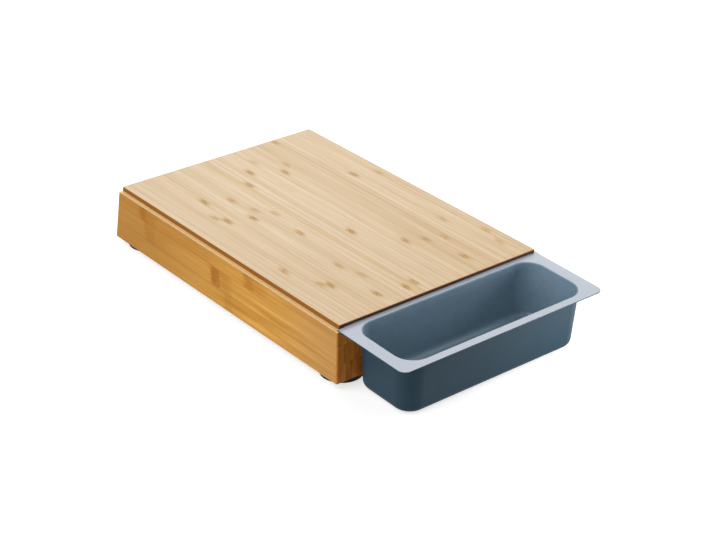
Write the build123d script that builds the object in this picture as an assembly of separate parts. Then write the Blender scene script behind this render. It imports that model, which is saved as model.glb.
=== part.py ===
from build123d import *
import os
from math import asin, cos, degrees, radians, tan

# A free-standing bamboo chopping block with a tray hung on its end by a tongue in a slot.
# +X runs along the block towards the tray, +Z is up, and the soles of the feet are at Z = 0.
# The origin is under the middle of the whole thing, tray included. All sizes are in millimetres.

# ---- Laminated block: three courses of bamboo strips, glued flat one on another ----
block_base_length = 403.2      # along the underside
board_width = 274.2
bottom_course_height = 21.6
middle_course_height = 21.6
top_course_height = 21.6
far_end_lean = 10.0            # degrees; the far end leans out towards its base
corner_round = 1.6             # upright corners
edge_round = 0.8               # long edges

# ---- Rebate that leaves the cutting field standing proud ----
rebate_depth = 5.4
rebate_width_side = 5.35
rebate_width_end = 3.6
field_edge_round = 0.5

# ---- Feet, each held by a wood screw over a washer ----
foot_height = 7.2
foot_radius = 23.5
foot_inset_end = 26.0          # from the end of the underside to the foot's centre
foot_inset_side = 27.5
foot_sole_round = 1.6
foot_draft = 3.0               # degrees
foot_recess_radius = 9.0
foot_recess_depth = 4.6
foot_hole_radius = 2.6
washer_radius = 7.5
washer_thickness = 1.2
washer_hole_radius = 2.5
screw_head_radius = 4.4
screw_head_height = 2.4
screw_head_round = 1.0
screw_shank_radius = 2.1
screw_length = 20.0            # under the head
screw_tip_length = 3.0
screw_tip_radius = 0.4
driver_slot_width = 1.1
driver_slot_length = 5.0
driver_slot_depth = 1.3
pilot_hole_radius = 1.7        # the thread cuts into the bamboo around it
pilot_hole_spare = 1.0         # past the screw's tip

# ---- Tray: one thin moulding, a drafted bowl with a flat flange round it ----
tray_wall = 1.4
flange_thickness = 1.2
flange_inset_side = 2.7        # from the block's long side to the flange's end
flange_end_reach = 14.2        # past the bowl's outside, at either end
flange_front_reach = 8.9       # past the bowl's outside, at the front
flange_corner_radius = 9.0
flange_edge_round = 0.4
bowl_length = 86.8             # outside, just under the flange
bowl_corner_radius = 23.0
bowl_draft = 3.5               # degrees
bowl_floor_round = 8.7         # outside
bowl_end_gap = 1.3             # from the block's end to the bowl's rear wall
bowl_ground_gap = 3.3          # under the bowl when the tray is level
rim_root_round = 1.0           # under the flange, where the wall meets it

# ---- Hook: the flange's rear tongue lies in a slot under the cutting field ----
hook_depth = 10.0              # how far the tongue lies under the field
shoulder_width = 8.4           # from the tongue's end to the flange's
tongue_corner_radius = 4.0
slot_side_gap = 1.0
slot_back_gap = 0.6
shoulder_gap = 0.3             # from the cutting field's end to the flange's shoulders
slot_play = 0.31               # spare height, which lets the tray hang a little nose down
slot_touch_gap = 0.05

block_height = bottom_course_height + middle_course_height + top_course_height
block_top = foot_height + block_height
rebate_floor = block_top - rebate_depth
flange_width = board_width - 2 * flange_inset_side
bowl_width = flange_width - 2 * flange_end_reach
bowl_depth = rebate_floor - bowl_ground_gap
flange_reach = bowl_end_gap + bowl_length + flange_front_reach
tongue_width = flange_width - 2 * shoulder_width
slot_height = flange_thickness + slot_play
tongue_reach = rebate_width_end + hook_depth
tray_droop = degrees(asin((slot_play - slot_touch_gap) / tongue_reach))


def across_width(x0, x1, z0, z1, width):
    """A box centred on the XZ plane, given by its edges along X and Z."""
    return Pos((x0 + x1) / 2, 0, (z0 + z1) / 2) * Box(x1 - x0, width, z1 - z0)


def along_z(shape):
    """The straight edges that run up the block, those of the leaning end among them."""
    return [e for e in shape.edges() if abs((e @ 1 - e @ 0).Z) > block_height / 2]


def long_edges(shape, y, z):
    """The edges along X at a given distance either side of the middle, at height z."""
    return [
        e for e in shape.edges().filter_by(Axis.X)
        if abs(abs(e.center().Y) - y) < 0.01 and abs(e.center().Z - z) < 0.01
    ]


def glued_block():
    """The whole block as the glue press and the router leave it; X = 0 is its tray end."""
    lean_run = block_height * tan(radians(far_end_lean))
    side_view = Plane.XZ * Polygon(
        (-block_base_length, foot_height),
        (0, foot_height),
        (0, block_top),
        (-block_base_length + lean_run, block_top),
        align=None,
    )
    block = extrude(side_view, board_width / 2, both=True)
    block = fillet(along_z(block), corner_round)
    side_cut = Box(3 * block_base_length, rebate_width_side, rebate_depth)
    for side in (-1, 1):
        middle_y = side * (board_width - rebate_width_side) / 2
        block -= Pos(0, middle_y, block_top - rebate_depth / 2) * side_cut
    block -= across_width(-rebate_width_end, 1, rebate_floor, block_top + 1, 2 * board_width)
    field_half_width = board_width / 2 - rebate_width_side
    block = fillet(long_edges(block, field_half_width, block_top), field_edge_round)
    block = fillet(long_edges(block, board_width / 2, rebate_floor), edge_round)
    block = fillet(long_edges(block, board_width / 2, foot_height), edge_round)
    return block - across_width(
        -tongue_reach - slot_back_gap,
        -rebate_width_end + 1,
        rebate_floor,
        rebate_floor + slot_height,
        tongue_width + 2 * slot_side_gap,
    )


def course(block, z0, height):
    """One glued course of the block, between two level glue lines."""
    return block & across_width(
        -2 * block_base_length, block_base_length, z0, z0 + height, 2 * board_width
    )


def screw_top():
    """How high the tip of a foot's screw reaches."""
    return foot_recess_depth - washer_thickness + screw_length


def foot():
    """A round rubber foot with a recess in its sole for the washer and the screw's head."""
    sole_radius = foot_radius - foot_height * tan(radians(foot_draft))
    body = Cone(
        sole_radius, foot_radius, foot_height, align=(Align.CENTER, Align.CENTER, Align.MIN)
    )
    body = fillet(body.edges().group_by(Axis.Z)[0], foot_sole_round)
    up = (Align.CENTER, Align.CENTER, Align.MIN)
    body -= Cylinder(foot_recess_radius, foot_recess_depth, align=up)
    return body - Cylinder(foot_hole_radius, foot_height, align=up)


def washer():
    """A flat steel washer, seated against the roof of the foot's recess."""
    up = (Align.CENTER, Align.CENTER, Align.MIN)
    ring = Cylinder(washer_radius, washer_thickness, align=up)
    ring -= Cylinder(washer_hole_radius, washer_thickness, align=up)
    return Pos(0, 0, foot_recess_depth - washer_thickness) * ring


def screw():
    """A pan-head wood screw with a cross slot, pointing up, its head under the washer."""
    up = (Align.CENTER, Align.CENTER, Align.MIN)
    head_top = foot_recess_depth - washer_thickness
    head = Pos(0, 0, head_top - screw_head_height) * Cylinder(
        screw_head_radius, screw_head_height, align=up
    )
    head = fillet(head.edges().group_by(Axis.Z)[0], screw_head_round)
    for slot_size in ((driver_slot_length, driver_slot_width), (driver_slot_width, driver_slot_length)):
        head -= Pos(0, 0, head_top - screw_head_height) * Box(*slot_size, driver_slot_depth, align=up)
    shank_length = screw_length - screw_tip_length
    shank = Pos(0, 0, head_top) * Cylinder(screw_shank_radius, shank_length, align=up)
    tip = Pos(0, 0, head_top + shank_length) * Cone(
        screw_shank_radius, screw_tip_radius, screw_tip_length, align=up
    )
    return head + shank + tip


def foot_places():
    """The feet's centres with the name of the corner each stands under."""
    y = board_width / 2 - foot_inset_side
    near_x = -foot_inset_end
    far_x = -block_base_length + foot_inset_end
    return {
        "tray_end_left": (near_x, y),
        "tray_end_right": (near_x, -y),
        "far_end_left": (far_x, y),
        "far_end_right": (far_x, -y),
    }


def drafted_bowl(top, floor, inset):
    """A bowl-shaped solid from a level top down to its floor, with its walls drawn in by inset."""
    spread = 2 * (top * tan(radians(bowl_draft)) - inset)
    outline = Pos(bowl_end_gap + bowl_length / 2, 0, top) * RectangleRounded(
        bowl_length + spread, bowl_width + spread, bowl_corner_radius + spread / 2
    )
    bowl = extrude(outline, floor - top, taper=bowl_draft)
    wall_between = floor + bowl_depth
    return fillet(bowl.faces().sort_by(Axis.Z)[0].edges(), bowl_floor_round - wall_between)


def flange_plate():
    """The flat flange with its square shoulders at the rear and the narrower tongue."""
    shoulder_x = -rebate_width_end + shoulder_gap
    plate = Pos((shoulder_x + flange_reach) / 2, 0) * Rectangle(
        flange_reach - shoulder_x, flange_width
    )
    plate = fillet(plate.vertices().group_by(Axis.X)[-1], flange_corner_radius)
    tongue_x = -tongue_reach
    tongue = Pos(tongue_x / 2, 0) * Rectangle(-tongue_x, tongue_width)
    tongue = fillet(tongue.vertices().group_by(Axis.X)[0], tongue_corner_radius)
    flange = extrude(plate + tongue, flange_thickness)
    faces = flange.faces().sort_by(Axis.Z)
    return fillet(faces[0].edges() + faces[-1].edges(), flange_edge_round)


def bowl_rim(body, z):
    """The closed run of edges where the bowl's wall meets the flange at height z."""
    return [
        e for e in body.edges()
        if abs(e.bounding_box().min.Z - z) < 0.01 and abs(e.bounding_box().max.Z - z) < 0.01
        and e.bounding_box().min.X > bowl_end_gap - 0.1
        and e.bounding_box().max.X < bowl_end_gap + bowl_length + 0.1
    ]


def tray():
    """The tray, level, with X = 0 at the block's end and Z = 0 at the flange's underside."""
    body = flange_plate() + drafted_bowl(0, -bowl_depth, 0)
    body = fillet(bowl_rim(body, 0), rim_root_round)
    wall_across = tray_wall / cos(radians(bowl_draft))
    body -= drafted_bowl(flange_thickness, -bowl_depth + tray_wall, wall_across)
    return fillet(bowl_rim(body, flange_thickness), rim_root_round + tray_wall)


def all_pieces():
    """Every piece under its node's name, with X = 0 at the block's tray end."""
    block = glued_block()
    glue_line_1 = foot_height + bottom_course_height
    glue_line_2 = glue_line_1 + middle_course_height
    bottom = course(block, foot_height, bottom_course_height)
    pilot_depth = screw_top() + pilot_hole_spare - foot_height
    pieces = {}
    for corner, (x, y) in foot_places().items():
        up = (Align.CENTER, Align.CENTER, Align.MIN)
        bottom -= Pos(x, y, foot_height) * Cylinder(pilot_hole_radius, pilot_depth, align=up)
        pieces[f"foot_{corner}"] = Pos(x, y, 0) * foot()
        pieces[f"foot_washer_{corner}"] = Pos(x, y, 0) * washer()
        pieces[f"foot_screw_{corner}"] = Pos(x, y, 0) * screw()
    pieces["bottom_board"] = bottom
    pieces["middle_board"] = course(block, glue_line_1, middle_course_height)
    pieces["top_board"] = course(block, glue_line_2, top_course_height)
    pieces["tray"] = Pos(0, 0, rebate_floor) * Rot(0, tray_droop, 0) * tray()
    return pieces


pieces = all_pieces()
far_x = pieces["bottom_board"].bounding_box().min.X
front_x = pieces["tray"].bounding_box().max.X
to_origin = Pos(-(far_x + front_x) / 2, 0, 0)
os.makedirs("parts", exist_ok=True)
for name, piece in pieces.items():
    export_step(to_origin * piece, f"parts/{name}.step")
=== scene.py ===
from math import asin, cos, pi, radians, sin, tan

import bpy
import numpy as np
from mathutils import Matrix, Vector


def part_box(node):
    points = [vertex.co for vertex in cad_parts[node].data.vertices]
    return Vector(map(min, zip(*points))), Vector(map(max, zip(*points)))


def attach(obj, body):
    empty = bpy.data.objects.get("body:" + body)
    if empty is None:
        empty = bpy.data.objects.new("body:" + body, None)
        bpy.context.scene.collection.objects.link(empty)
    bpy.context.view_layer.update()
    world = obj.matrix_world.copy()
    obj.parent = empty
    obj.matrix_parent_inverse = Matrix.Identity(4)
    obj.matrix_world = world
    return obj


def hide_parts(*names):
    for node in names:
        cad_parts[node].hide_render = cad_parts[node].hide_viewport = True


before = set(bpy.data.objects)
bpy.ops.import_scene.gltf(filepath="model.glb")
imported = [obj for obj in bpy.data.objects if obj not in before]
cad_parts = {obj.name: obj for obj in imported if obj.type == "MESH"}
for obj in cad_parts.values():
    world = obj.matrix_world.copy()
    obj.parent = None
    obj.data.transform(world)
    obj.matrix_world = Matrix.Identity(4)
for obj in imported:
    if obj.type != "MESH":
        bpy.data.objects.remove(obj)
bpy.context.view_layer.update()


# ---- Laminated block ----
# Three courses of bamboo strips, glued side by side and then flat on one another, planed and oiled.
# The strips stand on edge: the top shows their thin edges, the long sides one strip's broad face,
# and the ends their cut fibres. The cutting field stands proud inside a routed rebate.

block_low, block_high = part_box("bottom_board")[0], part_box("top_board")[1]
board_width = (block_high.y - block_low.y) * 1000     # millimetres, as in all the bamboo's sizes
block_underside, cutting_field = block_low.z * 1000, block_high.z * 1000
rebate_depth = 5.4
rebate_floor = cutting_field - rebate_depth
strip_count = 42
strip_width = board_width / strip_count


def linear(red, green, blue):
    """A colour given as three screen values from 0 to 255, as the renderer's linear light."""
    screen = np.array([red, green, blue]) / 255
    low, high = screen / 12.92, ((screen + 0.055) / 1.055) ** 2.4
    return (*np.where(screen <= 0.04045, low, high).tolist(), 1.0)


class Reading:
    """A number that a finish works out at each point of a surface. + - * / add its math nodes."""

    def __init__(self, tree, socket):
        self.tree, self.socket = tree, socket

    def with_math(self, operation, *others):
        """The result of a math node that has this reading and the others as its inputs."""
        node = self.tree.nodes.new("ShaderNodeMath")
        node.operation = operation
        for socket, value in zip(node.inputs, (self, *others)):
            put(self.tree, socket, value)
        return Reading(self.tree, node.outputs[0])

    def __add__(self, other):
        return self.with_math("ADD", other)

    def __sub__(self, other):
        return self.with_math("SUBTRACT", other)

    def __mul__(self, other):
        return self.with_math("MULTIPLY", other)

    def __truediv__(self, other):
        return self.with_math("DIVIDE", other)

    def rise(self, start, end):
        """0 below start, 1 past end, with a smooth step between them; end may be below start."""
        node = self.tree.nodes.new("ShaderNodeMapRange")
        node.interpolation_type = "SMOOTHSTEP"
        put(self.tree, node.inputs["Value"], self)
        node.inputs["From Min"].default_value = min(start, end)
        node.inputs["From Max"].default_value = max(start, end)
        node.inputs["To Min"].default_value = 0.0 if start < end else 1.0
        node.inputs["To Max"].default_value = 1.0 if start < end else 0.0
        return Reading(self.tree, node.outputs["Result"])

    def near(self, middle, core, reach):
        """1 within core of the middle value, falling smoothly to 0 at reach from it."""
        return (self - middle).with_math("ABSOLUTE").rise(reach, core)


def put(tree, socket, value):
    """Give a node's input a reading, another node's output or a plain value."""
    if isinstance(value, Reading):
        tree.links.new(value.socket, socket)
    elif isinstance(value, bpy.types.NodeSocket):
        tree.links.new(value, socket)
    else:
        socket.default_value = value


def new_finish(name, **constants):
    """A material with one Principled shader, its constants set on the shader's own sockets."""
    material = bpy.data.materials.new(name)
    material.use_nodes = True
    tree = material.node_tree
    tree.nodes.clear()
    shader = tree.nodes.new("ShaderNodeBsdfPrincipled")
    output = tree.nodes.new("ShaderNodeOutputMaterial")
    tree.links.new(shader.outputs["BSDF"], output.inputs["Surface"])
    for socket, value in constants.items():
        shader.inputs[socket.replace("_", " ")].default_value = value
    return material, tree, shader


def place(tree):
    """A point's place on the object in millimetres, along X, Y and Z."""
    source = tree.nodes.new("ShaderNodeTexCoord")
    parts = tree.nodes.new("ShaderNodeSeparateXYZ")
    tree.links.new(source.outputs["Object"], parts.inputs["Vector"])
    return [Reading(tree, parts.outputs[axis]) * 1000 for axis in "XYZ"]


def facing(tree):
    """How far a surface faces along X, Y and Z, from 0 to 1 whichever way it points."""
    source = tree.nodes.new("ShaderNodeTexCoord")
    parts = tree.nodes.new("ShaderNodeSeparateXYZ")
    tree.links.new(source.outputs["Normal"], parts.inputs["Vector"])
    return [Reading(tree, parts.outputs[axis]).with_math("ABSOLUTE") for axis in "XYZ"]


def noise(x, y, z, detail=2.0, roughness=0.5):
    """Smooth noise, about 0 to 1 with its middle at 0.5. The readings are places counted in grains."""
    tree = x.tree
    vector = tree.nodes.new("ShaderNodeCombineXYZ")
    for socket, value in zip(vector.inputs, (x, y, z)):
        put(tree, socket, value)
    texture = tree.nodes.new("ShaderNodeTexNoise")
    tree.links.new(vector.outputs["Vector"], texture.inputs["Vector"])
    texture.inputs["Scale"].default_value = 1.0
    texture.inputs["Detail"].default_value = detail
    texture.inputs["Roughness"].default_value = roughness
    return Reading(tree, texture.outputs["Fac"])


def chance(number, seed):
    """An even random number from 0 to 1, the same wherever the given reading is the same."""
    tree = number.tree
    texture = tree.nodes.new("ShaderNodeTexWhiteNoise")
    texture.noise_dimensions = "1D"
    put(tree, texture.inputs["W"], number + seed)
    return Reading(tree, texture.outputs["Value"])


def blend(share, first, second):
    """The first colour where the share is 0, the second where it is 1."""
    tree = share.tree
    node = tree.nodes.new("ShaderNodeMix")
    node.data_type = "RGBA"
    put(tree, node.inputs["Factor"], share)
    put(tree, node.inputs["A"], first)
    put(tree, node.inputs["B"], second)
    return node.outputs["Result"]


def bump(tree, shader, height, distance):
    """Raise the surface by the height reading, where 1 stands for the distance in metres."""
    node = tree.nodes.new("ShaderNodeBump")
    node.inputs["Strength"].default_value = 1.0
    node.inputs["Distance"].default_value = distance
    put(tree, node.inputs["Height"], height)
    tree.links.new(node.outputs["Normal"], shader.inputs["Normal"])


def dress(node, finish):
    """Give a CAD node's mesh its one finish."""
    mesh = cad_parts[node].data
    mesh.materials.clear()
    mesh.materials.append(finish)


# Where a stalk's knots come out on the cutting field: strips counted from the right, at -Y, and how
# far along the block each knot is, in millimetres from the middle of the whole object.
field_knots = {
    4: (28,), 6: (73, -113), 7: (81, -99), 8: (-152,), 11: (-88, 123), 12: (53, -137),
    13: (82, -103), 14: (-29,), 15: (-83,), 16: (130,), 18: (127, -157), 21: (1, -183),
    24: (-203,), 26: (52, -160), 28: (-175,), 29: (63,), 30: (117,), 32: (71, -232),
    35: (-108,), 36: (38,), 38: (115,), 39: (86, -95),
}
knot_half_length = 11.0
halo_half_length = knot_half_length * 1.9
knot_scale = 600.0        # millimetres that the ramps' values from 0 to 1 stand for
off_the_board = 0.0       # a ramp value that is past the far end

# In the two lower courses, whose strips' edges hardly show, chance gives each strip its two knots:
# where the first may start and over what span, and how far on the second is and over what span.
hidden_knots_start, hidden_knots_span = -230, 310
hidden_knots_apart, apart_span = 250, 60

# How long the marks in the bamboo are along the block, and how thick across it.
fibre_length, fibre_thickness = 90, 0.8
streak_length, streak_thickness = 190, 2.1
cloud_length, cloud_width, cloud_height = 120, 30, 7
knot_grain_length, knot_grain_thickness = 2.6, 1.2
ragged_length, ragged_thickness, ragged_reach = 5, 1.6, 14
askew_reach = 9
fibre_relief = 0.00008    # metres
glue_line_core, glue_line_reach = 0.05, 0.28          # half the width of the lines between courses
joint_core, joint_reach = 0.1, 0.75                   # and of the joints between strips
leaning, square_on = 0.55, 0.8      # how far a face points one way to start, and to be wholly, so


class Strips:
    """The strips of one course, read at each point: which strip it is, how far the nearest glue
    joint is, the strip's own tint, and its fibres, which are lines on every long face and dots on
    the ends. Each chance adds its own offset to the course's seed."""

    def __init__(self, tree, shift, seed):
        self.seed = seed
        self.x, self.y, self.z = x, y, z = place(tree)
        position = (y + board_width / 2) / strip_width + shift
        self.number = position.with_math("FLOOR")
        self.within = position - self.number
        self.tint = chance(self.number, seed)
        self.warmth = chance(self.number, seed + 7.3)

        joint = (position + 0.5).with_math("FLOOR")
        self.from_joint = (position - joint).with_math("ABSOLUTE") * strip_width
        self.joint_depth = chance(joint, seed + 3.1)

        self.fibre = noise(
            x / fibre_length, y / fibre_thickness + seed, z / fibre_thickness, detail=4, roughness=0.65
        )
        strip_offset = self.number * 3.7
        self.streak = noise(
            x / streak_length + seed, y / streak_thickness, z / streak_thickness + strip_offset
        )
        self.cloud = noise(x / cloud_length, y / cloud_width + seed, z / cloud_height)

        # Each point counts as a little nearer or farther along, which makes the knots' outlines
        # ragged and sets them askew.
        slant = (self.within - 0.5) * (chance(self.number, seed + 5.7) - 0.5) * askew_reach
        ragged = noise(x / ragged_length, y / ragged_thickness, z / ragged_thickness, detail=3) - 0.5
        self.ragged_x = x + ragged * ragged_reach + slant


def ramp_of_knots(strip, first, last):
    """The first and second knots' places on each strip from first to last, from one stepped ramp."""
    tree = strip.tree
    span = last - first + 1
    node = tree.nodes.new("ShaderNodeValToRGB")
    ramp = node.color_ramp
    ramp.interpolation = "CONSTANT"
    ramp.elements.remove(ramp.elements[1])
    for index in range(span):
        element = ramp.elements[0] if index == 0 else ramp.elements.new(index / span)
        knots = field_knots.get(first + index, ())
        values = [x / knot_scale + 0.5 for x in knots] + [off_the_board] * (2 - len(knots))
        element.color = (*values, 0.0, 1.0)
    put(tree, node.inputs["Fac"], (strip - first + 0.5) / span)
    parts = tree.nodes.new("ShaderNodeSeparateColor")
    tree.links.new(node.outputs["Color"], parts.inputs["Color"])
    return [
        (Reading(tree, parts.outputs[channel]) - 0.5) * knot_scale for channel in ("Red", "Green")
    ]


def edge_knots(strips, listed):
    """Knots on the edges of the strips: how much of a soft brown lens, and of the paler halo round
    it, is at each point. Their places are the listed ones of the cutting field, from a ramp for each
    half of the strips, because a ramp has room for 32 steps, or else are left to chance."""
    if listed:
        middle = strip_count // 2
        right_half = ramp_of_knots(strips.number, 0, middle - 1)
        left_half = ramp_of_knots(strips.number, middle, strip_count - 1)
        is_left = strips.number.rise(middle - 1, middle)
        knots = [at_right + (at_left - at_right) * is_left
                 for at_right, at_left in zip(right_half, left_half)]
    else:
        first_knot = strips.tint * hidden_knots_span + hidden_knots_start
        knots = [first_knot, first_knot + hidden_knots_apart + strips.warmth * apart_span]
    first, second = ((strips.ragged_x - knot).with_math("ABSOLUTE") for knot in knots)
    from_knot = first.with_math("MINIMUM", second)
    from_middle = (strips.within - 0.5).with_math("ABSOLUTE")
    depth = chance(strips.number, strips.seed + 1.9) * 0.65 + 0.45
    mottle = noise(
        strips.x / knot_grain_length,
        strips.y / knot_grain_thickness + strips.seed,
        strips.z / knot_grain_thickness,
        detail=3,
    ).rise(0.34, 0.6)
    lens = from_knot.rise(knot_half_length, 1) * from_middle.rise(0.66, 0.3) * depth
    halo = from_knot.rise(halo_half_length, 3) * from_middle.rise(0.8, 0.4) * depth
    return lens * (mottle * 0.7 + 0.3), halo


def side_bands(strips, side_knots):
    """Knots on the broad face of the outer strips: how much of a dark band, over the whole height of
    the course, is at each point. One edge of a band is sharp, and the other fades out."""
    bands = None
    for side, knot_x, half_width, depth in side_knots:
        on_side = (strips.y * side).rise(0, 1)
        low_x, high_x = knot_x - half_width, knot_x + half_width
        patches = noise(strips.x / 6 + knot_x, strips.y / 4, strips.z / 4, detail=3)
        patches = patches.rise(0.3, 0.62) * 0.25 + 0.75
        sharp_edge = strips.ragged_x.rise(low_x - 1, low_x + 3)
        soft_edge = strips.ragged_x.rise(high_x + 5, high_x - 6)
        halo = strips.ragged_x.near(high_x, half_width, half_width * 3) * (depth * 0.4)
        band = (sharp_edge * soft_edge * patches * depth).with_math("MAXIMUM", halo) * on_side
        bands = band if bands is None else bands.with_math("MAXIMUM", band)
    return bands


def level_colour(strips, knot_lens, knot_halo, glue_line):
    """The colour of the level faces: the strips' straw-coloured edges, deeper toward the tray, with
    fibres, glue lines and knots. The rebate's ledge has painted light that makes it paler, with a
    brown outer corner."""
    straw, deep_straw, warm_straw = linear(203, 183, 151), linear(180, 154, 114), linear(194, 158, 108)
    fibre_brown, glue_brown = linear(158, 116, 66), linear(140, 100, 56)
    halo_gold, knot_brown = linear(186, 146, 78), linear(140, 96, 32)
    ledge_painted_light, ledge_corner_brown = linear(236, 198, 142), linear(150, 108, 40)

    toward_tray = strips.x.rise(-160, 200)
    streaks = (strips.streak - 0.5) * (toward_tray + 1)
    deepness = strips.tint * 0.4 + streaks + toward_tray * 0.42 + 0.18
    colour = blend(deepness, straw, deep_straw)
    colour = blend(strips.warmth * 0.25, colour, warm_straw)
    colour = blend((strips.fibre - 0.4) * 1.5, colour, fibre_brown)
    colour = blend(glue_line, colour, glue_brown)
    colour = blend(knot_halo * 0.4, colour, halo_gold)
    colour = blend(knot_lens * 0.68, colour, knot_brown)

    on_ledge = strips.z.near(rebate_floor, 0.2, 0.8)
    from_side = strips.y.with_math("ABSOLUTE") * -1 + board_width / 2
    # Painted light: the ledge, shaded by the riser beside it, is made paler.
    colour = blend(on_ledge * 0.9, colour, ledge_painted_light)
    return blend(on_ledge * from_side.rise(1.3, 0.5) * 0.55, colour, ledge_corner_brown)


def side_colour(strips, bands, course_line, on_riser):
    """The colour of the long sides: caramel with long streaks, browner toward the far end and duller
    toward the tray, with the knots' bands, the glue lines and a darker stretch under the ledge."""
    caramel, dark_caramel = linear(216, 164, 72), linear(184, 124, 28)
    far_end_brown, tray_end_tan = linear(158, 104, 4), linear(170, 126, 82)
    fibre_brown, band_brown = linear(142, 84, 8), linear(150, 88, 0)
    glue_brown, riser_brown, shade_brown = linear(124, 74, 18), linear(126, 76, 0), linear(156, 98, 14)

    clouds = (strips.cloud - 0.5) * 2.4 + (strips.streak - 0.5) * 0.8 + 0.42
    colour = blend(clouds, caramel, dark_caramel)
    colour = blend(strips.x.rise(60, -230) * 0.75, colour, far_end_brown)
    colour = blend(strips.x.rise(20, 160) * 0.5, colour, tray_end_tan)
    colour = blend((strips.fibre - 0.45) * 1.4, colour, fibre_brown)
    colour = blend(bands * 0.85, colour, band_brown)
    colour = blend(course_line * 0.35, colour, glue_brown)
    colour = blend(on_riser * 0.95, colour, riser_brown)

    close_under = strips.z.near(rebate_floor - 0.5, 0.4, 1.2) * 0.45
    farther_under = strips.z.near(rebate_floor - 3.5, 1.5, 4) * 0.25
    return blend(close_under.with_math("MAXIMUM", farther_under), colour, shade_brown)


def end_colour(strips, course_line, on_riser):
    """The colour of the two ends: orange-brown cut fibres with a dark line at each glue joint. The
    riser behind the tray is painted a very dark brown as shade, and the topmost edge has a painted
    highlight in a lighter brown."""
    orange, dark_orange = linear(244, 158, 64), linear(190, 102, 26)
    fibre_brown, glue_brown = linear(110, 54, 8), linear(62, 28, 4)
    riser_brown, painted_edge_highlight = linear(40, 14, 0), linear(170, 96, 24)

    clouds = noise(strips.x / 9, strips.y / 6, strips.z / 14 + strips.seed) - 0.5
    colour = blend(strips.tint * 0.9 + clouds * 1.2, orange, dark_orange)
    colour = blend((strips.fibre - 0.4) * 1.5, colour, fibre_brown)
    joint_line = strips.from_joint.rise(0.4, 0.08) * (strips.joint_depth * 0.6 + 0.2)
    colour = blend(joint_line.with_math("MAXIMUM", course_line * 0.5), colour, glue_brown)
    # Painted shade: the riser behind the tray, over the flange, is made a very dark brown.
    at_tray_end = strips.x.rise(0, 50)
    colour = blend(on_riser * at_tray_end, colour, riser_brown)
    # Painted highlight: a lighter brown line along the topmost edge of each end.
    return blend(strips.z.rise(cutting_field - 1.1, cutting_field - 0.5), colour, painted_edge_highlight)


def bamboo(course, low, high, shift, seed, side_knots):
    """The finish of one course between two heights, its strips shifted sideways by a part of one."""
    material, tree, shader = new_finish(f"bamboo_{course}", Specular_IOR_Level=0.3)
    strips = Strips(tree, shift, seed)
    is_end, is_side, is_level = (reading.rise(leaning, square_on) for reading in facing(tree))
    knot_lens, knot_halo = edge_knots(strips, listed=course == "top_board")
    bands = side_bands(strips, side_knots)
    joint_darkness = strips.joint_depth.rise(0.4, 1.0) * 0.32 + 0.04
    glue_line = strips.from_joint.rise(joint_reach, joint_core) * joint_darkness
    low_line, high_line = (
        strips.z.near(course_edge, glue_line_core, glue_line_reach) for course_edge in (low, high)
    )
    course_line = low_line.with_math("MAXIMUM", high_line)
    on_riser = strips.z.rise(rebate_floor + 0.2, rebate_floor + 0.6)

    colour = blend(
        is_level,
        side_colour(strips, bands, course_line, on_riser),
        level_colour(strips, knot_lens, knot_halo, glue_line),
    )
    colour = blend(is_end, colour, end_colour(strips, course_line, on_riser))
    tree.links.new(colour, shader.inputs["Base Color"])

    dulled = is_end * 0.14 + knot_lens * is_level * 0.3 + (bands * 0.2 + on_riser * 0.2) * is_side
    roughness = (strips.fibre - 0.5) * 0.25 + (strips.tint - 0.5) * 0.08 + 0.46 + dulled
    put(tree, shader.inputs["Roughness"], roughness)
    grain = strips.fibre * 0.55 + strips.streak * 0.3
    relief = grain - glue_line * is_level * 0.6 + is_side * bands * 0.5
    bump(tree, shader, relief, fibre_relief)
    return material


# The courses from the bottom up: the sideways shift of their strips, and the knots on their long
# sides, each with its side, its place along the block, half its width and how dark it is.
right, left = -1, 1       # the sides at -Y and at +Y, as in the names of the feet
courses = {
    "bottom_board": (0.12, [(right, -30, 9, 0.35), (left, 92, 9, 0.7), (left, -160, 8, 0.8)]),
    "middle_board": (0.45, [(right, -53, 9, 1.0), (right, -178, 11, 0.5), (left, 20, 9, 0.8)]),
    "top_board": (0.0, [(right, -188, 8, 0.9), (right, 9, 9, 0.7), (left, -88, 9, 0.8)]),
}
course_height = (cutting_field - block_underside) / len(courses)
first_seed, seed_step = 11.0, 17.0
for number, (course, (strip_shift, side_knots)) in enumerate(courses.items()):
    course_low = block_underside + number * course_height
    seed = first_seed + number * seed_step
    dress(course, bamboo(
        course, course_low, course_low + course_height, strip_shift, seed, side_knots
    ))


# ---- Feet ----
# Four round black rubber feet, moulded with a fine matt grain. Each is held under the bottom course
# by a pan-head wood screw over a steel washer, both out of sight in the recess in its sole.

corners = ("tray_end_left", "tray_end_right", "far_end_left", "far_end_right")
washer_zinc, screw_zinc, dull_zinc = (
    linear(188, 190, 194), linear(168, 170, 172), linear(128, 130, 134)
)


def rubber():
    """Black moulded rubber, greyed a little by dust, rough to the touch."""
    material, tree, shader = new_finish("foot_rubber", Specular_IOR_Level=0.2)
    black, dusty_black = linear(6, 6, 6), linear(26, 25, 24)
    grain_size, dust_width, dust_height = 0.35, 14, 5
    x, y, z = place(tree)
    grain = noise(x / grain_size, y / grain_size, z / grain_size, detail=3)
    dust = noise(x / dust_width, y / dust_width, z / dust_height, detail=3)
    tree.links.new(blend((dust - 0.4) * 0.6, black, dusty_black), shader.inputs["Base Color"])
    put(tree, shader.inputs["Roughness"], (grain - 0.5) * 0.2 + 0.62)
    bump(tree, shader, grain, distance=0.00006)
    return material


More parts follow.
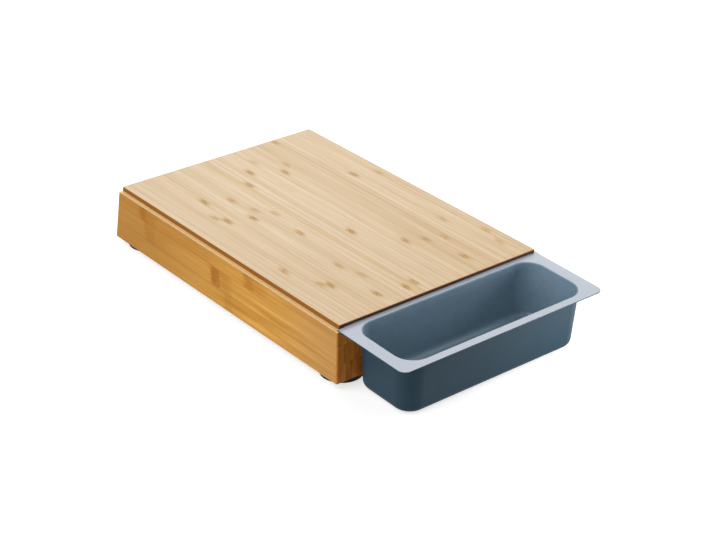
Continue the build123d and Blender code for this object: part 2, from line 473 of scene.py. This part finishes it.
def steel(name, zinc, centre):
    """Zinc-plated steel with fine rings round the part's own axis, as turning leaves them."""
    material, tree, shader = new_finish(name, Metallic=1.0)
    ring_width, ring_height, bloom_size = 0.12, 0.4, 2.5
    x, y, z = place(tree)
    from_x, from_y = x - centre.x, y - centre.y
    radius = (from_x * from_x + from_y * from_y).with_math("SQRT")
    rings = noise(radius / ring_width, z / ring_height, 0.0)
    bloom = noise(x / bloom_size, y / bloom_size, z / bloom_size, detail=3)
    tree.links.new(blend(bloom, zinc, dull_zinc), shader.inputs["Base Color"])
    put(tree, shader.inputs["Roughness"], rings * 0.18 + bloom * 0.12 + 0.2)
    bump(tree, shader, rings, distance=0.00002)
    return material


black_rubber = rubber()
for corner in corners:
    foot_low, foot_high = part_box(f"foot_{corner}")
    centre = (foot_low + foot_high) / 2 * 1000
    dress(f"foot_{corner}", black_rubber)
    dress(f"foot_washer_{corner}", steel(f"washer_{corner}", washer_zinc, centre))
    dress(f"foot_screw_{corner}", steel(f"screw_{corner}", screw_zinc, centre))


# ---- Tray ----
# One thin injection moulding in slate-blue plastic with a satin skin: a drafted bowl with a broad
# flat flange, whose rear tongue hooks into a slot under the cutting field. It hangs nose down by
# the slot's slack. Sizes are in metres, with X from the block's end and Z from under the flange.

wall = 0.0014
flange_thickness = 0.0012
flange_edge_round = 0.0004
flange_inset_side = 0.0027
flange_end_reach = 0.0142
flange_front_reach = 0.0089
flange_corner_radius = 0.009
bowl_length = 0.0868
bowl_corner_radius = 0.023
bowl_floor_round = 0.0087
bowl_end_gap = 0.0013
bowl_ground_gap = 0.0033
rim_root_round = 0.001
inner_rim_round = 0.0014
draft_angle = radians(3.5)
shoulder_x = -0.0033
shoulder_width = 0.0084
tongue_reach = 0.0136
tongue_corner_radius = 0.004
tongue_lift = 0.00026     # how far the tongue's end rises before it meets the slot's roof

draft = tan(draft_angle)
flange_half_width = board_width / 2 / 1000 - flange_inset_side
flange_reach = bowl_end_gap + bowl_length + flange_front_reach
tongue_half_width = flange_half_width - shoulder_width
bowl_half_width = flange_half_width - flange_end_reach
bowl_depth = rebate_floor / 1000 - bowl_ground_gap
round_rear_x = bowl_end_gap + bowl_corner_radius      # the middles of the bowl's corner rounds
round_front_x = bowl_end_gap + bowl_length - bowl_corner_radius
round_y = bowl_half_width - bowl_corner_radius

# Steps round the bowl: on each corner, long run and short run. The flange's edge has the same number
# over against each of them, shared out between its own runs and rounds.
corner_steps, long_steps, short_steps = 28, 30, 12
front_run_steps, shoulder_steps, tongue_run_steps = 8, (7, 4, 3), 6
front_round_steps = corner_steps - 2 * front_run_steps
tongue_round_steps = corner_steps - sum(shoulder_steps) - tongue_run_steps

# Steps on the rounds of the sections, and a row close beside each round to keep its shading clean.
rim_steps, floor_steps, edge_steps = 8, 12, 4
bowl_support, edge_support = np.array([[0.0005, 0]]), np.array([[0.0003, 0]])
wall_shares = (0.02, 0.25, 0.5, 0.75, 0.98)


def arc(centre_x, centre_y, radius, start, end, steps):
    """Points on a circle's arc from one angle to another in degrees, both ends included."""
    angle = np.radians(np.linspace(start, end, steps + 1))
    return np.stack([centre_x + radius * np.cos(angle), centre_y + radius * np.sin(angle)], 1)


def through(points, counts):
    """A broken line with the given number of even steps on each straight run, both ends included."""
    points = np.array(points, float)
    runs = [
        start + (end - start) * np.linspace(0, 1, count, endpoint=False)[:, None]
        for start, end, count in zip(points[:-1], points[1:], counts)
    ]
    return np.concatenate(runs + [points[-1:]])


def closed(*runs):
    """Runs of points joined end to start into one loop, without the repeated joints."""
    return np.concatenate([run[:-1] for run in runs])


def bowl_outline():
    """The bowl's outside just under the flange: a rounded rectangle, with four straight runs and four
    quarter circles, anticlockwise from above and starting with the front wall."""
    radius = bowl_corner_radius
    front_x, rear_x = round_front_x + radius, round_rear_x - radius
    end_y = round_y + radius
    return closed(
        through([(front_x, -round_y), (front_x, round_y)], [long_steps]),
        arc(round_front_x, round_y, radius, 0, 90, corner_steps),
        through([(round_front_x, end_y), (round_rear_x, end_y)], [short_steps]),
        arc(round_rear_x, round_y, radius, 90, 180, corner_steps),
        through([(rear_x, round_y), (rear_x, -round_y)], [long_steps]),
        arc(round_rear_x, -round_y, radius, 180, 270, corner_steps),
        through([(round_rear_x, -end_y), (round_front_x, -end_y)], [short_steps]),
        arc(round_front_x, -round_y, radius, 270, 360, corner_steps),
    )


def flange_outline():
    """The flange's edge, point for point against the bowl's outline: a rectangle with two rounded
    front corners, and at the rear two square shoulders and the tongue with its rounded corners."""
    end_y, radius, tongue_radius = flange_half_width, flange_corner_radius, tongue_corner_radius
    front_x, rear_x, tongue_y = flange_reach, -tongue_reach, tongue_half_width
    front_left = np.concatenate([
        through([(front_x, round_y), (front_x, end_y - radius)], [front_run_steps])[:-1],
        arc(front_x - radius, end_y - radius, radius, 0, 90, front_round_steps)[:-1],
        through([(front_x - radius, end_y), (round_front_x, end_y)], [front_run_steps]),
    ])
    rear_left = np.concatenate([
        through(
            [(round_rear_x, end_y), (shoulder_x, end_y), (shoulder_x, tongue_y),
             (rear_x + tongue_radius, tongue_y)],
            shoulder_steps,
        )[:-1],
        arc(
            rear_x + tongue_radius, tongue_y - tongue_radius, tongue_radius, 90, 180,
            tongue_round_steps,
        )[:-1],
        through([(rear_x, tongue_y - tongue_radius), (rear_x, round_y)], [tongue_run_steps]),
    ])
    mirror = np.array([1, -1])
    return closed(
        through([(front_x, -round_y), (front_x, round_y)], [long_steps]),
        front_left,
        through([(round_front_x, end_y), (round_rear_x, end_y)], [short_steps]),
        rear_left,
        through([(rear_x, round_y), (rear_x, -round_y)], [long_steps]),
        rear_left[::-1] * mirror,
        through([(round_rear_x, -end_y), (round_front_x, -end_y)], [short_steps]),
        front_left[::-1] * mirror,
    )


def outward(loop):
    """At each point of an anticlockwise loop, the mitred outward step that shifts its edges by 1: the
    sum of the two edges' normals, divided by 1 plus their product."""
    ahead = np.roll(loop, -1, 0) - loop
    ahead /= np.linalg.norm(ahead, axis=1)[:, None]
    behind = np.roll(ahead, 1, 0)
    normal = np.stack([ahead[:, 1], -ahead[:, 0]], 1)
    earlier = np.stack([behind[:, 1], -behind[:, 0]], 1)
    return (normal + earlier) / (1 + (normal * earlier).sum(1))[:, None]


def rounded(before, corner, after, radius, steps):
    """The arc of a given radius that rounds a corner of a profile, tangent to both of its sides: its
    middle is on the corner's bisector, and its points turn evenly from one side to the other."""
    before, corner, after = (np.array(point, float) for point in (before, corner, after))
    first = (before - corner) / np.linalg.norm(before - corner)
    second = (after - corner) / np.linalg.norm(after - corner)
    half = np.arccos(first @ second) / 2
    centre = corner + (first + second) / np.linalg.norm(first + second) * radius / sin(half)
    start = corner + first * radius / tan(half) - centre
    end = corner + second * radius / tan(half) - centre
    share = np.linspace(0, 1, steps + 1)[:, None]
    sweep = pi - 2 * half
    return centre + (np.sin((1 - share) * sweep) * start + np.sin(share * sweep) * end) / sin(sweep)


def between(first, last, shares):
    """Points on the straight line from first to last at the given shares of its length."""
    first, last = np.array(first, float), np.array(last, float)
    return first + (last - first) * np.array(shares)[:, None]


def bowl_profile(top_z, floor_z, inset, rim_radius, floor_radius):
    """A section of one skin of the bowl: how far out of its outline, and how high, from the rim's
    round on the flange, down the drafted wall and round onto the floor."""
    rim = (top_z * draft - inset, top_z)
    foot_of_wall = (floor_z * draft - inset, floor_z)
    out, into = (rim[0] + 1, top_z), (foot_of_wall[0] - 1, floor_z)
    rim_arc = rounded(out, rim, foot_of_wall, rim_radius, rim_steps)
    floor_arc = rounded(rim, foot_of_wall, into, floor_radius, floor_steps)
    return np.concatenate([
        rim_arc[:1] + bowl_support,
        rim_arc,
        between(rim_arc[-1], floor_arc[0], wall_shares),
        floor_arc,
        floor_arc[-1:] - bowl_support,
    ])


def flange_profile():
    """A section of the flange's edge: how far in from it, and how high, from top to underside."""
    radius, top = flange_edge_round, flange_thickness
    upper = rounded((1, top), (0, top), (0, -1), radius, edge_steps)
    lower = rounded((0, 1), (0, 0), (1, 0), radius, edge_steps)
    return np.concatenate([upper[:1] + edge_support, upper, lower, lower[-1:] + edge_support])


def ring_of(loop, step, section):
    """Rows of points, one for each point of the section: the loop moved out by the first value of
    the pair and lifted by the second."""
    flat = loop[None] + step[None] * section[:, :1, None]
    height = np.broadcast_to(section[:, 1, None, None], (*flat.shape[:2], 1))
    return np.concatenate([flat, height], 2)


def skin(name, rows, painted_light):
    """A closed mesh from rows of points in loops: quads between the rows, and a flat face over the
    first row and the last. The rows run so that the faces look outwards. The third argument, one
    value for each row, goes into a point attribute: how much light the tray's finish paints there."""
    row_count, size = rows.shape[:2]
    index = np.arange(row_count * size).reshape(row_count, size)
    beside = np.roll(index, -1, 1)
    quads = np.stack([index[:-1], beside[:-1], beside[1:], index[1:]], -1).reshape(-1, 4)
    faces = quads.tolist() + [index[0][::-1].tolist(), index[-1].tolist()]
    mesh = bpy.data.meshes.new(name)
    mesh.from_pydata(rows.reshape(-1, 3).tolist(), [], faces)
    mesh.polygons.foreach_set("use_smooth", np.ones(len(faces), bool))
    attribute = mesh.attributes.new("painted_light", "FLOAT", "POINT")
    attribute.data.foreach_set("value", np.repeat(painted_light, size).astype(np.float32))
    mesh.validate()
    mesh.update()
    return mesh


# The skin starts in the middle of the bowl's floor, climbs its inside, crosses the flange, goes round
# the flange's edge and comes back under it and down the outside to the middle of the underside.
bowl_loop, flange_loop = bowl_outline(), flange_outline()
bowl_step, flange_step = outward(bowl_loop), outward(flange_loop)
inner_skin = bowl_profile(
    flange_thickness, -bowl_depth + wall, wall / cos(draft_angle), inner_rim_round,
    bowl_floor_round - wall,
)
outer_skin = bowl_profile(0.0, -bowl_depth, 0.0, rim_root_round, bowl_floor_round)
inward_to_outward = np.array([-1, 1])
level_tray = np.concatenate([
    ring_of(bowl_loop, bowl_step, inner_skin[::-1]),
    ring_of(flange_loop, flange_step, flange_profile() * inward_to_outward),
    ring_of(bowl_loop, bowl_step, outer_skin),
])
droop = asin(tongue_lift / tongue_reach)
hung_tray = np.stack([
    block_high.x + level_tray[..., 0] * cos(droop) + level_tray[..., 2] * sin(droop),
    level_tray[..., 1],
    rebate_floor / 1000 - level_tray[..., 0] * sin(droop) + level_tray[..., 2] * cos(droop),
], -1)

# How much painted light each row gets: 0 on the outside, 1 in the bowl, whose inside is painted
# paler as light, and 2 on the flange's top, painted paler still as a sheen, from the last rows of
# the bowl's inner rim to the first of the flange's own edge.
outside, in_bowl, on_flange = 0.0, 1.0, 2.0
flange_top = slice(len(inner_skin) - 4, len(inner_skin) + 2)
painted_light_rows = np.full(len(hung_tray), outside)
painted_light_rows[:flange_top.start] = in_bowl
painted_light_rows[flange_top] = on_flange
tray_mesh = skin("slate_tray", hung_tray, painted_light_rows)
tray = bpy.data.objects.new("slate_tray", tray_mesh)
bpy.context.scene.collection.objects.link(tray)


def slate_plastic():
    """Slate-blue moulded plastic: a fine eggshell grain and a faint flow pattern. Painted light makes
    the bowl's inside paler and the flange's top paler still, as a sheen, in patches.
    """
    material, tree, shader = new_finish("slate_plastic", Specular_IOR_Level=0.3)
    slate, flow_slate, grain_grey = linear(10, 42, 57), linear(18, 50, 65), linear(120, 138, 150)
    bowl_painted_light, flange_painted_sheen = linear(118, 140, 156), linear(158, 163, 173)
    grain_size, smear_width, smear_length = 0.3, 7, 9
    flow_width, flow_length, flow_height = 45, 60, 30
    x, y, z = place(tree)
    grain = noise(x / grain_size, y / grain_size, z / grain_size)
    flow = noise(x / flow_width, y / flow_length, z / flow_height, detail=3)
    smears = noise(
        x / smear_width, y / smear_length, z / smear_width, detail=4, roughness=0.65
    )
    attribute = tree.nodes.new("ShaderNodeAttribute")
    attribute.attribute_name = "painted_light"
    painted_light = Reading(tree, attribute.outputs["Fac"])
    patchy = smears * 0.3 + 0.7
    colour = blend(flow, slate, flow_slate)
    # Painted light: the bowl's inside is made paler, in patches.
    colour = blend(painted_light * patchy, colour, bowl_painted_light)
    # Painted sheen: the flange's top is made paler still.
    colour = blend((painted_light - in_bowl) * patchy, colour, flange_painted_sheen)
    colour = blend((grain - 0.5) * 0.25, colour, grain_grey)
    tree.links.new(colour, shader.inputs["Base Color"])
    duller_outside = painted_light.rise(in_bowl, outside) * 0.17
    roughness = (smears - 0.5) * 0.12 + (grain - 0.5) * 0.05 + 0.36 + duller_outside
    put(tree, shader.inputs["Roughness"], roughness)
    bump(tree, shader, grain, distance=0.000012)
    return material


tray_mesh.materials.append(slate_plastic())
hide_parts("tray")
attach(tray, "tray")


# ---- Floor, light and camera ----
# A pale studio floor that keeps the block's soft shadow and goes white farther out. Plain softboxes
# light the object from above, from behind and from both long sides, and two small ones stand near
# the tray's far corner. In the lamps' names, left and right are as the camera sees them.

half_floor = 6.0
floor_shown, floor_to_the_object = linear(200, 200, 200), linear(140, 140, 140)
floor_glow = 0.62         # what the floor adds to its own light where it is seen or mirrored
glow_start, glow_full = 600, 2200      # millimetres from the middle, between which it goes white
ambient = 0.13            # the light that the object gets from all round
watts_per_square_metre = 4.0           # of a lamp's face, at a radiance of 1
seen_or_mirrored = ("Is Camera Ray", "Is Glossy Ray", "Is Transmission Ray")


def rays(tree, *kinds):
    """1 for rays of any of the given kinds, 0 for the others."""
    light_path = tree.nodes.new("ShaderNodeLightPath")
    share = Reading(tree, light_path.outputs[kinds[0]])
    for kind in kinds[1:]:
        share = share.with_math("MAXIMUM", light_path.outputs[kind])
    return share


floor_mesh = bpy.data.meshes.new("studio_floor")
floor_mesh.from_pydata(
    [(x * half_floor, y * half_floor, 0) for x, y in ((-1, -1), (1, -1), (1, 1), (-1, 1))],
    [], [(0, 1, 2, 3)],
)
floor = bpy.data.objects.new("studio_floor", floor_mesh)
bpy.context.scene.collection.objects.link(floor)
floor_finish, floor_tree, floor_shader = new_finish(
    "studio_floor", Roughness=0.9, Specular_IOR_Level=0.1, Emission_Color=(1, 1, 1, 1),
)
floor_x, floor_y, _ = place(floor_tree)
from_middle = (floor_x * floor_x + floor_y * floor_y).with_math("SQRT")
glow = from_middle.rise(glow_start, glow_full) * (1 - floor_glow) + floor_glow
floor_colour = blend(rays(floor_tree, "Is Camera Ray"), floor_to_the_object, floor_shown)
floor_tree.links.new(floor_colour, floor_shader.inputs["Base Color"])
glow_seen = rays(floor_tree, *seen_or_mirrored) * glow
put(floor_tree, floor_shader.inputs["Emission Strength"], glow_seen)
floor_mesh.materials.append(floor_finish)

world = bpy.data.worlds.new("studio_world")
world.use_nodes = True
background = world.node_tree.nodes["Background"]
background.inputs["Color"].default_value = (1, 1, 1, 1)
white_shown = rays(world.node_tree, *seen_or_mirrored) * (1 - ambient) + ambient
put(world.node_tree, background.inputs["Strength"], white_shown)
bpy.context.scene.world = world


def softbox(name, direction, radiance, distance=2.4, width=1.4, height=1.2):
    """A rectangular lamp that looks at the middle of the floor from a direction, as bright as a
    screen of that radiance. Distance, width and height are in metres."""
    data = bpy.data.lights.new(name, "AREA")
    data.shape = "RECTANGLE"
    data.size, data.size_y = width, height
    data.energy = radiance * watts_per_square_metre * width * height
    lamp = bpy.data.objects.new(name, data)
    towards = Vector(direction).normalized()
    lamp.location = towards * distance
    lamp.rotation_euler = towards.to_track_quat("Z", "Y").to_euler()
    lamp.visible_camera = False
    bpy.context.scene.collection.objects.link(lamp)


softbox("high_left_softbox", (-0.10, -0.60, 0.80), 2.8)
softbox("high_right_softbox", (0.20, 0.60, 0.80), 0.8)
softbox("high_front_softbox", (0.45, 0.20, 0.86), 1.3)
softbox("rear_softbox", (-0.60, 0.49, 0.64), 2.7, height=1.7)
softbox("left_softbox", (-0.50, -0.78, 0.38), 2.5)
softbox("near_left_softbox", (0.10, -0.95, 0.30), 1.8)
softbox("right_softbox", (0.10, 0.95, 0.30), 3.4)
softbox("near_right_softbox", (0.58, 0.79, 0.20), 4.2, distance=0.8, width=0.5, height=0.4)
softbox("fill_softbox", (0.32, -0.92, 0.22), 2.5)
softbox("low_front_softbox", (0.90, 0.42, 0.11), 8.0, distance=0.42, width=0.20, height=0.07)


# The camera was fitted to the block's edges: where it stands in metres, which way it looks, and how
# far it is rolled about its own axis.
camera_place = Vector((1.34420, -1.09689, 0.96575))
camera_azimuth, camera_elevation, camera_roll = radians(50.42), radians(28.446), radians(1.104)
camera_data = bpy.data.cameras.new("camera")
camera_data.sensor_fit = "HORIZONTAL"
camera_data.sensor_width = 36.0
camera_data.lens = 91.6
backward = Vector((
    sin(camera_azimuth) * cos(camera_elevation),
    -cos(camera_azimuth) * cos(camera_elevation),
    sin(camera_elevation),
))
rightward = Vector((cos(camera_azimuth), sin(camera_azimuth), 0))
upward = backward.cross(rightward)
rolled_right = rightward * cos(camera_roll) + upward * sin(camera_roll)
rolled_up = upward * cos(camera_roll) - rightward * sin(camera_roll)
camera = bpy.data.objects.new("camera", camera_data)
camera.matrix_world = Matrix.Translation(camera_place) @ Matrix(
    (rolled_right, rolled_up, backward)
).transposed().to_4x4()
bpy.context.scene.collection.objects.link(camera)
bpy.context.scene.camera = camera
bpy.context.scene.view_settings.view_transform = "Standard"
